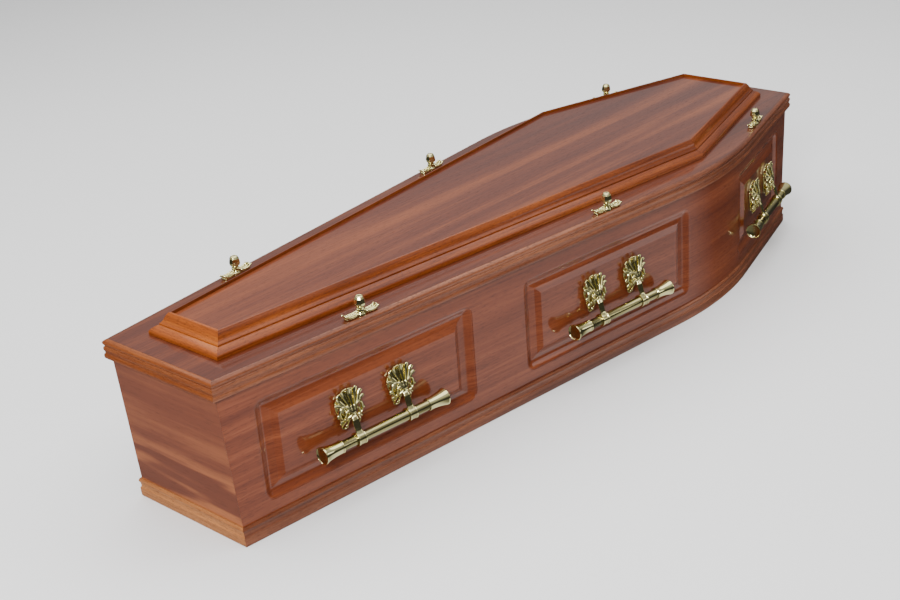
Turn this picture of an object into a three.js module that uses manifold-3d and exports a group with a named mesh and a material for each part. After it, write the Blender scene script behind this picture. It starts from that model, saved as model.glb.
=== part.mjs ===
// A veneered wooden coffin with a raised lid, routed side panels, bar handles and lid screws.
// Millimetres. +Z is up, +X runs to the head, -Y is the left-hand side of the person inside.
// The origin is the middle of the underside.

import * as THREE from 'three';
import { mergeVertices } from 'three/addons/utils/BufferGeometryUtils.js';
import Module from 'manifold-3d';

const wasm = await Module();
wasm.setup();

// Plan of the body, measured over the boards at the top edge
const BODY_LENGTH = 1930;
const FOOT_WIDTH = 296;
const SHOULDER_WIDTH = 615;
const HEAD_WIDTH = 322;
const SHOULDER_FROM_FOOT = 1401;
const SHOULDER_RADIUS = 860;
const SHOULDER_FACETS = 6;

// Boards
const BODY_HEIGHT = 332;
const END_LEAN = 20.5;
const WALL = 18;
const BASE_THICKNESS = 18;
const LID_THICKNESS = 18;
const CLEARANCE = 0.3;

// Mouldings: how tall they are and how far they stand out
const PLINTH_HEIGHT = 40;
const PLINTH_DEPTH = 5.6;
const RIM_HEIGHT = 38;
const RIM_DEPTH = 10;
const FRAME_BORDER = 65.5;
const FRAME_WIDTH = 35;
const FRAME_HEIGHT = 40;
const FRAME_LEDGE = 8;
const PANEL_RECESS = 6;
const PANEL_THICKNESS = 12;

// Routed panels in the sides, and the plain board left round them
const GROOVE_DEPTH = 6.5;
const GROOVE_COVE = 15;
const GROOVE_SLOPE = 34;
const GROOVE_RADIUS = 22;
const GROOVE_CORNER_STEPS = 3;
const PANEL_ABOVE_PLINTH = 25;
const PANEL_BELOW_RIM = 35;
const PANEL_FROM_FOOT = 75;
const PANEL_FROM_HEAD = 79;
const BETWEEN_PANELS = 145;
const MIDDLE_PANEL_ONTO_BEND = 40;
const HEAD_PANEL_ONTO_BEND = 54;

// Bar handles
const BAR_RADIUS = 10.5;
const BAR_LENGTH = 306;
const BAR_BELOW_BOSS = 50;
const BAR_STANDOFF = 30;
const BAR_SIDES = 10;
const FERRULE_LENGTH = 47;
const FERRULE_RADIUS = 12.6;
const FLARE_RADIUS = 19;
const FLARE_STEPS = 2;
const END_DISH = 3;
const PLATE_SPACING = 127;
const COLLAR_WIDTH = 19;
const COLLAR_WALL = 3.2;
const COLLAR_CLEARANCE = 0.6;
const COLLAR_SIDES = 12;
const STRAP_WIDTH = 14;
const STRAP_THICKNESS = 7;

// Leaf plates that carry the bars
const LEAF_HALF_WIDTH = 34;
const LEAF_ABOVE_BOSS = 52;
const LEAF_BELOW_BOSS = 33;
const BOSS_ABOVE_MIDDLE = 5;
const BOSS_PROUD = 23;
const LEAF_EDGE = 5;
const LEAF_CURL = 3;
const LEAF_LOBES = 11;
const FLUTE_DEPTH = 2.6;

// Lid screws
const SCREW_BASE_LENGTH = 80;
const SCREW_BASE_WIDTH = 19;
const SCREW_BASE_HEIGHT = 7;
const SCREW_STEM_RADIUS = 5;
const SCREW_NECK = 18;
const KNOB_RADIUS = 10;
const KNOB_HEIGHT = 25;
const KNOB_SIDES = 8;
const FOOT_SCREW_FROM_FOOT = 338;
const MIDDLE_SCREW_FROM_FOOT = 1012;
const HEAD_SCREW_FROM_HEAD = 260;

const LID_TOP = BODY_HEIGHT + LID_THICKNESS;
const SHOULDER_X = SHOULDER_FROM_FOOT - BODY_LENGTH / 2;
const PANEL_LOW = PLINTH_HEIGHT + PANEL_ABOVE_PLINTH;
const PANEL_HIGH = LID_TOP - RIM_HEIGHT - PANEL_BELOW_RIM;
const BOSS_HEIGHT = (PANEL_LOW + PANEL_HIGH) / 2 + BOSS_ABOVE_MIDDLE;
const BAR_HEIGHT = BOSS_HEIGHT - BAR_BELOW_BOSS;

const lacquer = (colour, roughness) =>
  new THREE.MeshStandardMaterial({ color: colour, roughness, metalness: 0 });
const SIDE_WOOD = lacquer(0x7d4432, 0.24);
const LID_WOOD = lacquer(0x8f5f4f, 0.2);
const MOULDING_WOOD = lacquer(0x9a5730, 0.26);
const INNER_WOOD = lacquer(0xb08a62, 0.7);
const BRASS = new THREE.MeshStandardMaterial({ color: 0xd6cc96, roughness: 0.16, metalness: 1 });

// Meshes from rings of points

function triangulate(ring) {
  const normal = new THREE.Vector3();
  for (let i = 0; i < ring.length; i += 1) {
    const a = ring[i];
    const b = ring[(i + 1) % ring.length];
    normal.x += (a.y - b.y) * (a.z + b.z);
    normal.y += (a.z - b.z) * (a.x + b.x);
    normal.z += (a.x - b.x) * (a.y + b.y);
  }
  const size = [Math.abs(normal.x), Math.abs(normal.y), Math.abs(normal.z)];
  const drop = size.indexOf(Math.max(...size));
  const flat = ring.map((p) => {
    const c = p.toArray();
    c.splice(drop, 1);
    return new THREE.Vector2(c[0], c[1]);
  });
  const faces = THREE.ShapeUtils.triangulateShape(flat, []);
  const [i, j, k] = faces[0];
  const side = new THREE.Vector3().subVectors(ring[j], ring[i]);
  side.cross(new THREE.Vector3().subVectors(ring[k], ring[i]));
  return side.dot(normal) > 0 ? faces : faces.map(([a, b, c]) => [a, c, b]);
}

function geometryOf(points, faces) {
  let volume = 0;
  for (const [a, b, c] of faces) {
    volume += points[a].dot(new THREE.Vector3().crossVectors(points[b], points[c]));
  }
  const outward = volume > 0 ? faces : faces.map(([a, b, c]) => [a, c, b]);
  const geometry = new THREE.BufferGeometry();
  geometry.setAttribute('position', new THREE.Float32BufferAttribute(points.flatMap((p) => p.toArray()), 3));
  geometry.setIndex(outward.flat());
  return geometry;
}

// A closed skin over a row of closed rings that all have the same number of points
function loft(rings) {
  const n = rings[0].length;
  const last = (rings.length - 1) * n;
  const faces = triangulate(rings[0]).map(([a, b, c]) => [a, c, b]);
  for (let r = 0; r + 1 < rings.length; r += 1) {
    for (let i = 0; i < n; i += 1) {
      const a = r * n + i;
      const b = r * n + ((i + 1) % n);
      faces.push([a, b, b + n], [a, b + n, a + n]);
    }
  }
  for (const [a, b, c] of triangulate(rings.at(-1))) {
    faces.push([last + a, last + b, last + c]);
  }
  return geometryOf(rings.flat(), faces);
}

function solid(geometry) {
  const bare = geometry.clone();
  bare.deleteAttribute('normal');
  bare.deleteAttribute('uv');
  const merged = mergeVertices(bare);
  return new wasm.Manifold(new wasm.Mesh({
    numProp: 3,
    vertProperties: new Float32Array(merged.attributes.position.array),
    triVerts: new Uint32Array(merged.index.array),
  }));
}

function skin(manifold) {
  const mesh = manifold.getMesh();
  const geometry = new THREE.BufferGeometry();
  geometry.setAttribute('position', new THREE.BufferAttribute(new Float32Array(mesh.vertProperties), 3));
  geometry.setIndex(new THREE.BufferAttribute(new Uint32Array(mesh.triVerts), 1));
  return geometry;
}

// The same piece on the other side of the coffin
function mirrored(geometry) {
  const copy = geometry.clone();
  const { position } = copy.attributes;
  for (let i = 0; i < position.count; i += 1) {
    position.setY(i, -position.getY(i));
  }
  const index = copy.index.array;
  for (let i = 0; i < index.length; i += 3) {
    [index[i + 1], index[i + 2]] = [index[i + 2], index[i + 1]];
  }
  return copy;
}

const coffin = new THREE.Group();

function add(name, geometry, material, parent = coffin) {
  const mesh = new THREE.Mesh(geometry, material);
  mesh.name = name;
  parent.add(mesh);
  return mesh;
}

// The plan: two straight runs a side, joined by a bend at the shoulder

const FOOT_CORNER = new THREE.Vector2(-BODY_LENGTH / 2, FOOT_WIDTH / 2);
const SHOULDER_CORNER = new THREE.Vector2(SHOULDER_X, SHOULDER_WIDTH / 2);
const HEAD_CORNER = new THREE.Vector2(BODY_LENGTH / 2, HEAD_WIDTH / 2);
const FOOT_RUN = new THREE.Vector2().subVectors(SHOULDER_CORNER, FOOT_CORNER).normalize();
const HEAD_RUN = new THREE.Vector2().subVectors(HEAD_CORNER, SHOULDER_CORNER).normalize();
const outwardOf = (run) => new THREE.Vector2(-run.y, run.x);

// How far the leaning ends have come in at a height
const leanAt = (z) => END_LEAN * Math.max(0, BODY_HEIGHT - z) / BODY_HEIGHT;

// The point of a straight run, moved in by an inset, where it has a given x
function onRun(corner, run, inset, x) {
  const start = corner.clone().addScaledVector(outwardOf(run), -inset);
  return start.addScaledVector(run, (x - start.x) / run.x);
}

function sharpShoulder(inset) {
  const a = SHOULDER_CORNER.clone().addScaledVector(outwardOf(FOOT_RUN), -inset);
  const b = SHOULDER_CORNER.clone().addScaledVector(outwardOf(HEAD_RUN), -inset);
  const gap = b.clone().sub(a);
  return a.addScaledVector(FOOT_RUN, gap.cross(HEAD_RUN) / FOOT_RUN.cross(HEAD_RUN));
}

const TURN = Math.acos(FOOT_RUN.dot(HEAD_RUN));
const BEND_REACH = SHOULDER_RADIUS * Math.tan(TURN / 2);

// One side of the plan from foot to head, moved in by an inset; a mitre gap shortens both ends
function sideLine(inset, z, gap = 0, bend = SHOULDER_FACETS) {
  const end = BODY_LENGTH / 2 - leanAt(z) - inset;
  const foot = onRun(FOOT_CORNER, FOOT_RUN, inset, -end);
  const head = onRun(HEAD_CORNER, HEAD_RUN, inset, end);
  const points = [foot.addScaledVector(FOOT_RUN, gap)];
  if (bend === 0) {
    points.push(sharpShoulder(inset));
  } else {
    const start = SHOULDER_CORNER.clone().addScaledVector(FOOT_RUN, -BEND_REACH);
    const centre = start.addScaledVector(outwardOf(FOOT_RUN), -SHOULDER_RADIUS);
    for (let i = 0; i <= bend; i += 1) {
      const spoke = outwardOf(FOOT_RUN).rotateAround(new THREE.Vector2(), -TURN * i / bend);
      points.push(centre.clone().addScaledVector(spoke, SHOULDER_RADIUS - inset));
    }
  }
  points.push(head.addScaledVector(HEAD_RUN, -gap));
  return points;
}

// A level outline of the whole plan
function outline(inset, z, bend = SHOULDER_FACETS) {
  const near = sideLine(inset, z, 0, bend).map((p) => new THREE.Vector3(p.x, -p.y, z));
  const far = sideLine(inset, z, 0, bend).map((p) => new THREE.Vector3(p.x, p.y, z));
  return near.concat(far.reverse());
}

// The cut back at each end of a piece that leaves the clearance across a mitre
const mitreGap = (angle) => CLEARANCE / 2 / Math.sin(angle / 2);
const FOOT_ANGLE = Math.PI / 2 + Math.atan2(FOOT_RUN.y, FOOT_RUN.x);
const HEAD_ANGLE = Math.PI / 2 - Math.atan2(HEAD_RUN.y, HEAD_RUN.x);
const CORNER_GAP = Math.max(mitreGap(FOOT_ANGLE), mitreGap(HEAD_ANGLE));
const SHOULDER_GAP = mitreGap(Math.PI - TURN);

// A moulding along the left side: its section is a closed row of [inset, height] points.
// The plinth follows the leaning ends of the body; what belongs to the lid stands upright.
function sideMoulding(section, leans) {
  const lines = section.map(([inset, z]) => sideLine(inset, leans ? z : BODY_HEIGHT, CORNER_GAP));
  return loft(lines[0].map((_, i) => section.map(
    ([, z], j) => new THREE.Vector3(lines[j][i].x, -lines[j][i].y, z),
  )));
}

// The same moulding across an end, at = -1 for the foot and 1 for the head
function endMoulding(section, leans, at) {
  const corners = section.map(([inset, z]) => {
    const line = sideLine(inset, leans ? z : BODY_HEIGHT);
    const p = at < 0 ? line[0] : line.at(-1);
    return new THREE.Vector3(p.x, p.y - CORNER_GAP, z);
  });
  return loft([corners, corners.map((p) => new THREE.Vector3(p.x, -p.y, p.z))]);
}

function mouldingSet(name, section, leans) {
  const left = sideMoulding(section, leans);
  add(`${name}_left`, left, MOULDING_WOOD);
  add(`${name}_right`, mirrored(left), MOULDING_WOOD);
  add(`${name}_foot`, endMoulding(section, leans, -1), MOULDING_WOOD);
  add(`${name}_head`, endMoulding(section, leans, 1), MOULDING_WOOD);
}

// A stretch of a moulding's section between two points, bowed out or in, without its last point
function bow([d0, h0], [d1, h1], bulge, steps) {
  const points = [];
  for (let i = 0; i < steps; i += 1) {
    const t = i / steps;
    const lift = bulge * 4 * t * (1 - t);
    points.push([d0 + (d1 - d0) * t - lift, h0 + (h1 - h0) * t]);
  }
  return points;
}

// Body: base board, two bent sides and two leaning ends, mitred at the four corners

function baseBoard() {
  return loft([0, BASE_THICKNESS].map((z) => outline(WALL + CLEARANCE, z)));
}

function endBoard(at) {
  const corner = (inset, z, across) => {
    const p = at < 0 ? sideLine(inset, z)[0] : sideLine(inset, z).at(-1);
    return new THREE.Vector3(p.x, across * (p.y - CORNER_GAP), z);
  };
  return loft([0, BODY_HEIGHT].map((z) => [
    corner(0, z, -1), corner(0, z, 1), corner(WALL, z, 1), corner(WALL, z, -1),
  ]));
}

// Two equal panels share the long run of a side and one fills the short run; each reaches a
// little way onto the bend. A panel's centre is a distance along its run from a corner.
const FOOT_STRAIGHT = FOOT_CORNER.distanceTo(SHOULDER_CORNER) - BEND_REACH;
const HEAD_STRAIGHT = HEAD_CORNER.distanceTo(SHOULDER_CORNER) - BEND_REACH;
const LONG_PANEL = (FOOT_STRAIGHT + MIDDLE_PANEL_ONTO_BEND - PANEL_FROM_FOOT - BETWEEN_PANELS) / 2;
const SHORT_PANEL = HEAD_STRAIGHT + HEAD_PANEL_ONTO_BEND - PANEL_FROM_HEAD;
const FOOT_CENTRE = PANEL_FROM_FOOT + LONG_PANEL / 2;
const MIDDLE_CENTRE = FOOT_CENTRE + LONG_PANEL + BETWEEN_PANELS;
const HEAD_CENTRE = -PANEL_FROM_HEAD - SHORT_PANEL / 2;
const PANELS = [
  { place: 'foot', run: FOOT_RUN, from: FOOT_CORNER, centre: FOOT_CENTRE, length: LONG_PANEL },
  { place: 'middle', run: FOOT_RUN, from: FOOT_CORNER, centre: MIDDLE_CENTRE, length: LONG_PANEL },
  { place: 'head', run: HEAD_RUN, from: HEAD_CORNER, centre: HEAD_CENTRE, length: SHORT_PANEL },
];

// Puts an object on a side so that its own -Y looks out of the board; hand = -1 left, 1 right
function placeOnSide(object, { run, from, centre }, hand) {
  const p = from.clone().addScaledVector(run, centre);
  object.position.set(p.x, hand * p.y, 0);
  object.rotation.z = hand < 0 ? -run.angle() : run.angle() + Math.PI;
  object.updateMatrixWorld(true);
  return object;
}

// The outline of a panel, moved in by an inset, at a depth in the board
function panelRing(length, inset, radius, depth) {
  const halfLength = length / 2 - inset;
  const low = PANEL_LOW + inset;
  const high = PANEL_HIGH - inset;
  const steps = radius > 0 ? GROOVE_CORNER_STEPS : 0;
  const corners = [[1, 1], [-1, 1], [-1, -1], [1, -1]];
  return corners.flatMap(([sx, sz], corner) => {
    const cx = sx * (halfLength - radius);
    const cz = sz > 0 ? high - radius : low + radius;
    return Array.from({ length: steps + 1 }, (_, i) => {
      const a = (corner + (steps ? i / steps : 0)) * Math.PI / 2;
      return new THREE.Vector3(cx + radius * Math.cos(a), depth, cz + radius * Math.sin(a));
    });
  });
}

// The routed ring: a cove with rounded corners that runs into a slope up to a mitred field
function grooveCutter(length) {
  const coveKnee = GROOVE_COVE / 3;
  const kneeDepth = GROOVE_DEPTH * 0.7;
  const radiusAt = (inset) => Math.max(GROOVE_RADIUS - inset, 1);
  const tray = loft([
    panelRing(length, 0, radiusAt(0), -WALL),
    panelRing(length, 0, radiusAt(0), 0),
    panelRing(length, coveKnee, radiusAt(coveKnee), kneeDepth),
    panelRing(length, GROOVE_COVE, radiusAt(GROOVE_COVE), GROOVE_DEPTH),
  ]);
  const fieldInset = GROOVE_COVE + GROOVE_SLOPE;
  const field = loft([
    panelRing(length, fieldInset, 0, -2 * WALL),
    panelRing(length, fieldInset, 0, 0),
    panelRing(length, GROOVE_COVE, 0, GROOVE_DEPTH),
    panelRing(length, GROOVE_COVE, 0, 2 * GROOVE_DEPTH),
  ]);
  return solid(tray).subtract(solid(field));
}

function sideBoard() {
  let board = solid(loft([0, BODY_HEIGHT].map((z) => {
    const outer = sideLine(0, z, CORNER_GAP);
    const inner = sideLine(WALL, z, CORNER_GAP).reverse();
    return outer.concat(inner).map((p) => new THREE.Vector3(p.x, -p.y, z));
  })));
  for (const panel of PANELS) {
    const place = placeOnSide(new THREE.Object3D(), panel, -1);
    board = board.subtract(grooveCutter(panel.length).transform(place.matrixWorld.toArray()));
  }
  return skin(board);
}

// Plinth moulding round the foot of the body, from its lowest point up
function plinthSection() {
  const out = (share) => -CLEARANCE - share * (PLINTH_DEPTH - CLEARANCE);
  const up = (share) => share * PLINTH_HEIGHT;
  return [
    [out(0), up(0)], [out(0.95), up(0)],
    ...bow([out(0.97), up(0.03)], [out(0.95), up(0.48)], 0.4, 2),
    [out(0.95), up(0.48)], [out(0.5), up(0.54)],
    ...bow([out(0.55), up(0.56)], [out(0.6), up(0.75)], -0.4, 2),
    ...bow([out(0.6), up(0.77)], [out(0.6), up(0.99)], 2, 3),
    [out(0.55), up(1)], [out(0), up(1)],
  ];
}

// Rim moulding round the lid board, hanging over the joint with the body
function rimSection() {
  const out = (share) => -CLEARANCE - share * (RIM_DEPTH - CLEARANCE);
  const down = (share) => LID_TOP - share * RIM_HEIGHT;
  return [
    [out(0), down(0)],
    ...bow([out(0.4), down(0)], [out(1), down(0.15)], 1.6, 4),
    [out(1), down(0.15)], [out(0.72), down(0.29)], [out(0.72), down(0.35)],
    ...bow([out(0.9), down(0.4)], [out(0.9), down(0.58)], 0.4, 2),
    ...bow([out(0.9), down(0.58)], [out(0.94), down(0.79)], -1.6, 3),
    ...bow([out(0.96), down(0.8)], [out(0.88), down(1)], 0.7, 3),
    [out(0.88), down(1)], [out(0), down(1)],
  ];
}

// Frame of the raised lid: ovolo, quirk and cove outside, a ledge for the panel inside
const FRAME_SEAT = LID_TOP + CLEARANCE;
const FRAME_TOP = LID_TOP + FRAME_HEIGHT;
const PANEL_TOP = FRAME_TOP - PANEL_RECESS;
const LEDGE_TOP = PANEL_TOP - PANEL_THICKNESS - CLEARANCE;

function frameSection() {
  const inward = (share) => FRAME_BORDER - RIM_DEPTH + share * FRAME_WIDTH;
  const up = (share) => FRAME_SEAT + share * (FRAME_TOP - FRAME_SEAT);
  return [
    [inward(0), up(0)],
    ...bow([inward(0), up(0.16)], [inward(0.37), up(0.41)], 2, 4),
    [inward(0.37), up(0.41)], [inward(0.49), up(0.43)], [inward(0.48), up(0.51)],
    ...bow([inward(0.52), up(0.58)], [inward(0.7), up(0.72)], -1, 2),
    ...bow([inward(0.7), up(0.72)], [inward(0.9), up(1)], 2.2, 4),
    [inward(0.9), up(1)], [inward(1), up(1)], [inward(1), LEDGE_TOP],
    [inward(1) + FRAME_LEDGE, LEDGE_TOP], [inward(1) + FRAME_LEDGE, up(0)],
  ];
}

// One straight length of the frame between two corners of its six-sided plan
function frameLength(first) {
  const gap = first === 0 ? [CORNER_GAP, SHOULDER_GAP] : [SHOULDER_GAP, CORNER_GAP];
  const run = first === 0 ? FOOT_RUN : HEAD_RUN;
  return loft([0, 1].map((end) => frameSection().map(([inset, z]) => {
    const p = sideLine(inset, z, 0, 0)[first + end];
    p.addScaledVector(run, end === 0 ? gap[0] : -gap[1]);
    return new THREE.Vector3(p.x, -p.y, z);
  })));
}

function lidBoard() {
  return loft([BODY_HEIGHT + CLEARANCE, LID_TOP].map((z) => outline(0, z)));
}

function raisedPanel() {
  const inset = FRAME_BORDER - RIM_DEPTH + FRAME_WIDTH + CLEARANCE;
  return loft([PANEL_TOP - PANEL_THICKNESS, PANEL_TOP].map((z) => outline(inset, z, 0)));
}

// Handle bar with a flared ferrule at each end, turned about X
function handleBar() {
  const half = BAR_LENGTH / 2;
  const profile = [[0, END_DISH], [FLARE_RADIUS - END_DISH, END_DISH], [FLARE_RADIUS, 0]];
  for (let i = 1; i <= FLARE_STEPS; i += 1) {
    const t = i / FLARE_STEPS;
    profile.push([FERRULE_RADIUS + (FLARE_RADIUS - FERRULE_RADIUS) * (1 - t) ** 2, t * FERRULE_LENGTH]);
  }
  profile.push([BAR_RADIUS, FERRULE_LENGTH]);
  const left = profile.map(([r, x]) => new THREE.Vector2(r, x - half));
  const right = profile.map(([r, x]) => new THREE.Vector2(r, half - x)).reverse();
  return skin(solid(new THREE.LatheGeometry(left.concat(right), BAR_SIDES))).rotateZ(Math.PI / 2);
}

// How far the leaf reaches from its boss in a direction, with a = 0 straight up
function leafReach(a) {
  const tall = Math.cos(a) > 0 ? LEAF_ABOVE_BOSS : LEAF_BELOW_BOSS;
  const box = (Math.abs(Math.sin(a)) / LEAF_HALF_WIDTH) ** 4 + (Math.abs(Math.cos(a)) / tall) ** 4;
  const dip = (at, wide) => Math.exp(-(((Math.abs(a) - at) / wide) ** 2));
  const waist = 1 - 0.2 * dip(1.7, 0.35);
  const cleft = 1 - 0.6 * dip(Math.PI, 0.3);
  return box ** -0.25 * waist * cleft;
}

// A fluted acanthus leaf that swells out to a boss, flat behind
function leaf() {
  const stations = 2 * LEAF_LOBES;
  const rings = [0.32, 0.74, 1];
  const point = (a, share, crest) => {
    const reach = leafReach(a) * share * (crest > 0 ? 1 : 0.93);
    const curl = share === 1 && Math.cos(a) > 0 ? LEAF_CURL : 0;
    const flute = crest * FLUTE_DEPTH * Math.sin(Math.PI * Math.min(share, 0.8));
    const proud = LEAF_EDGE + (BOSS_PROUD - LEAF_EDGE) * (1 - share) ** 0.85 + flute + curl;
    return new THREE.Vector3(reach * Math.sin(a), -proud, BOSS_HEIGHT + reach * Math.cos(a));
  };
  const angles = Array.from({ length: stations }, (_, i) => -Math.PI + 2 * Math.PI * (i + 1) / stations);
  const front = rings.map((share) => angles.map((a, i) => point(a, share, i % 2 ? 1 : -1)));
  const back = front.at(-1).map((p) => new THREE.Vector3(p.x, -CLEARANCE, p.z));
  return loft([...front, back]);
}

// The leaf with the strap that comes down from its boss and wraps the bar in a collar
function leafPlate() {
  const collarRadius = BAR_RADIUS + COLLAR_CLEARANCE + COLLAR_WALL;
  const front = BAR_STANDOFF + collarRadius;
  const down = (share) => BOSS_HEIGHT - share * BAR_BELOW_BOSS;
  const side = [
    [BOSS_PROUD + 1, down(0)], [BOSS_PROUD + STRAP_THICKNESS, down(0.3)],
    [front - COLLAR_WALL, down(0.75)], [front, down(1)],
    [BAR_STANDOFF, down(1)], [BAR_STANDOFF - STRAP_THICKNESS, down(0.75)],
    [BOSS_PROUD - STRAP_THICKNESS, down(0.3)], [BOSS_PROUD - 2 * STRAP_THICKNESS, down(0)],
  ];
  const strap = loft([-1, 1].map((hand) => side.map(
    ([proud, z]) => new THREE.Vector3(hand * STRAP_WIDTH / 2, -proud, z),
  )));
  const round = (radius, length) =>
    new THREE.CylinderGeometry(radius, radius, length, COLLAR_SIDES)
      .rotateZ(Math.PI / 2).translate(0, -BAR_STANDOFF, BAR_HEIGHT);
  const collar = round(collarRadius, COLLAR_WIDTH);
  const bore = round(BAR_RADIUS + COLLAR_CLEARANCE, 2 * COLLAR_WIDTH);
  return skin(solid(leaf()).add(solid(strap)).add(solid(collar)).subtract(solid(bore)));
}

function addHandles() {
  const bar = handleBar();
  const plate = leafPlate();
  for (const [hand, side] of [[-1, 'left'], [1, 'right']]) {
    for (const panel of PANELS) {
      const handle = placeOnSide(new THREE.Group(), panel, hand);
      coffin.add(handle);
      const name = `handle_${side}_${panel.place}`;
      add(`${name}_bar`, bar, BRASS, handle).position.set(0, -BAR_STANDOFF, BAR_HEIGHT);
      for (const [step, end] of [[-1, 'a'], [1, 'b']]) {
        add(`${name}_plate_${end}`, plate, BRASS, handle).position.x = step * PLATE_SPACING / 2;
      }
    }
  }
}

// Leafy base of a lid screw, toothed along its sides, with tips that rise to points
function screwBase() {
  const stations = 9;
  const rings = Array.from({ length: stations }, (_, i) => {
    const t = 2 * i / (stations - 1) - 1;
    const tooth = i % 2 ? 1 : 0.78;
    const wide = SCREW_BASE_WIDTH / 2 * (1 - 0.5 * t ** 4) * tooth;
    const high = SCREW_BASE_HEIGHT * (0.75 + 0.45 * t * t);
    const x = t * SCREW_BASE_LENGTH / 2;
    const row = [[-wide, 0], [wide, 0], [wide * 0.6, high * 0.7], [0, high], [-wide * 0.6, high * 0.7]];
    return row.map(([y, z]) => new THREE.Vector3(x, y, z));
  });
  const stem = [[0, 0], [2, 0], [1.3, 0.5], [1, 1], [0, 1]].map(
    ([r, z]) => new THREE.Vector2(r * SCREW_STEM_RADIUS, z * SCREW_NECK),
  );
  const turned = new THREE.LatheGeometry(stem, KNOB_SIDES).rotateX(Math.PI / 2);
  return skin(solid(loft(rings)).add(solid(turned)));
}

// Faceted bud that the screw is turned by
function screwKnob() {
  const bud = [[0, 0], [0.6, 0], [1, 0.28], [0.95, 0.5], [0.68, 0.93], [0.5, 1], [0, 0.97]];
  const profile = bud.map(([r, z]) => new THREE.Vector2(r * KNOB_RADIUS, z * KNOB_HEIGHT));
  return skin(solid(new THREE.LatheGeometry(profile, KNOB_SIDES))).rotateX(Math.PI / 2);
}

// The screws stand over the middle of the side boards' top edges
function addLidScrews() {
  const base = screwBase();
  const knob = screwKnob();
  const places = [
    { place: 'foot', run: FOOT_RUN, from: FOOT_CORNER, x: FOOT_SCREW_FROM_FOOT - BODY_LENGTH / 2 },
    { place: 'middle', run: FOOT_RUN, from: FOOT_CORNER, x: MIDDLE_SCREW_FROM_FOOT - BODY_LENGTH / 2 },
    { place: 'head', run: HEAD_RUN, from: HEAD_CORNER, x: BODY_LENGTH / 2 - HEAD_SCREW_FROM_HEAD },
  ];
  for (const [hand, side] of [[-1, 'left'], [1, 'right']]) {
    for (const { place, run, from, x } of places) {
      const p = onRun(from, run, WALL / 2, x);
      const screw = new THREE.Group();
      screw.position.set(p.x, hand * p.y, LID_TOP + CLEARANCE);
      screw.rotation.z = hand * run.angle();
      coffin.add(screw);
      add(`lid_screw_${side}_${place}_base`, base, BRASS, screw);
      const top = add(`lid_screw_${side}_${place}_knob`, knob, BRASS, screw);
      top.position.z = SCREW_NECK + CLEARANCE;
    }
  }
}

// The whole coffin

add('base_board', baseBoard(), INNER_WOOD);
const leftSide = sideBoard();
add('side_left', leftSide, SIDE_WOOD);
add('side_right', mirrored(leftSide), SIDE_WOOD);
add('foot_end', endBoard(-1), SIDE_WOOD);
add('head_end', endBoard(1), SIDE_WOOD);
mouldingSet('plinth', plinthSection(), true);
add('lid_board', lidBoard(), LID_WOOD);
mouldingSet('lid_rim', rimSection(), false);
for (const [first, name] of [[0, 'long'], [1, 'short']]) {
  const length = frameLength(first);
  add(`lid_frame_left_${name}`, length, MOULDING_WOOD);
  add(`lid_frame_right_${name}`, mirrored(length), MOULDING_WOOD);
}
add('lid_frame_foot', endMoulding(frameSection(), false, -1), MOULDING_WOOD);
add('lid_frame_head', endMoulding(frameSection(), false, 1), MOULDING_WOOD);
add('lid_panel', raisedPanel(), LID_WOOD);
addHandles();
addLidScrews();

export default coffin;
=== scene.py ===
# %% [markdown]
# A shouldered wooden coffin. The imported model gives every piece at its real size. This lesson
# dresses it with smooth mouldings, carved leaf plates, turned bars, and veneer under gloss
# lacquer. The dressed coffin must not outgrow it.

# %% Load the frame
import math
from math import cos, pi, radians, sin

import bpy
from mathutils import Matrix, Vector


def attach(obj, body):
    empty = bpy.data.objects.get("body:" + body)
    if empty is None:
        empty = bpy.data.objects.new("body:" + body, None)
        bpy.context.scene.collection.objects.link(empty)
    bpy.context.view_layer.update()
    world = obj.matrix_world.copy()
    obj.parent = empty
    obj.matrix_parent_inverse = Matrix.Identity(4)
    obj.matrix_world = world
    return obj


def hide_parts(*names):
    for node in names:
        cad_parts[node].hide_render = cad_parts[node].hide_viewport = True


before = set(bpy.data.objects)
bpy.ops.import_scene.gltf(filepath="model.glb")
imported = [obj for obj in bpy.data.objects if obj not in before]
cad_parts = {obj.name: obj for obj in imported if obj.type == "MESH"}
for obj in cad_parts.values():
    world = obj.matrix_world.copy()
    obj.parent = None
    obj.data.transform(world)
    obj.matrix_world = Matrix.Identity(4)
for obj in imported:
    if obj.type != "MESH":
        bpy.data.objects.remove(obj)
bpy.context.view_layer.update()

# %% [markdown]
# The camera stands at the foot end, on the left, and looks down along the coffin. It is placed
# by the direction it looks back in, its distance from a point on the coffin, and a small roll,
# because the picture isn't level.

# %% Camera
CAMERA_AZIMUTH = radians(-46.709)
CAMERA_ELEVATION = radians(24.41)
CAMERA_ROLL = radians(-4.4)
CAMERA_TARGET = Vector((-0.16626, 0.02543, 0.15))
CAMERA_DISTANCE = 3.2393
CAMERA_LENS = 58.334

back = Vector((sin(CAMERA_AZIMUTH) * cos(CAMERA_ELEVATION),
               -cos(CAMERA_AZIMUTH) * cos(CAMERA_ELEVATION),
               sin(CAMERA_ELEVATION)))
level = Vector((0, 0, 1)).cross(back).normalized()
upright = back.cross(level)
right = cos(CAMERA_ROLL) * level + sin(CAMERA_ROLL) * upright
bpy.ops.object.camera_add()
camera = bpy.context.object
camera.name = "camera"
camera.data.sensor_width = 36
camera.data.lens = CAMERA_LENS
camera.matrix_world = Matrix.LocRotScale(
    CAMERA_TARGET + back * CAMERA_DISTANCE,
    Matrix((right, back.cross(right), back)).transposed(), None)
bpy.context.scene.camera = camera
print("camera at", [round(c, 3) for c in camera.location])
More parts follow.
